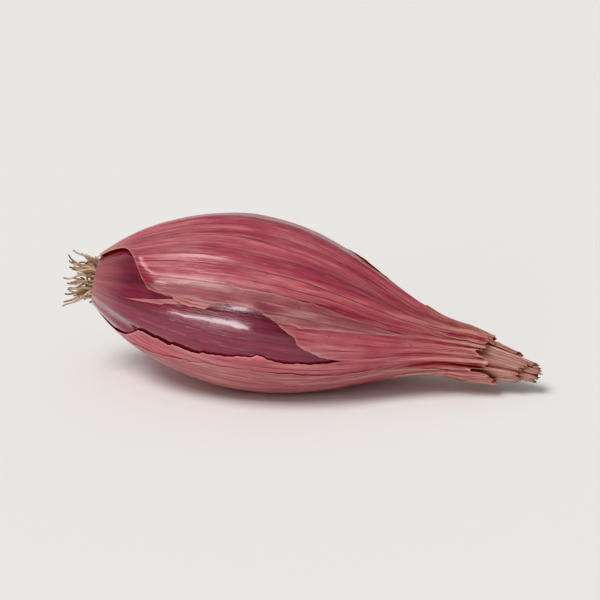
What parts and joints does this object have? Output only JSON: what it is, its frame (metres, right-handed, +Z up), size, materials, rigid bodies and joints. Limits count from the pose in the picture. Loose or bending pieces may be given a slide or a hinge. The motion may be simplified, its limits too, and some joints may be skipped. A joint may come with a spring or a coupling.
{
  "type": "pink shallot",
  "caption": "Plump pink bulb lying on its side, drawn out from a tuft of dried roots to a short pleated dry neck, with lengthwise ribs and a torn outer skin.",
  "frame": {"origin": "on the surface that the shallot rests on, under the middle of its box", "axes": "+X along the shallot from the roots to the dry neck, +Z up, -Y towards the front"},
  "size_m": [0.0642, 0.0242, 0.0228],
  "materials": {
    "pink_skin": "satin",
    "dry_sheath": "satin",
    "dried_root": "matte"
  },
  "bodies": {
    "root": {"bulb": "pink_skin", "dry_neck": "dry_sheath", "root_tuft": "dried_root"}
  },
  "joints": []
}
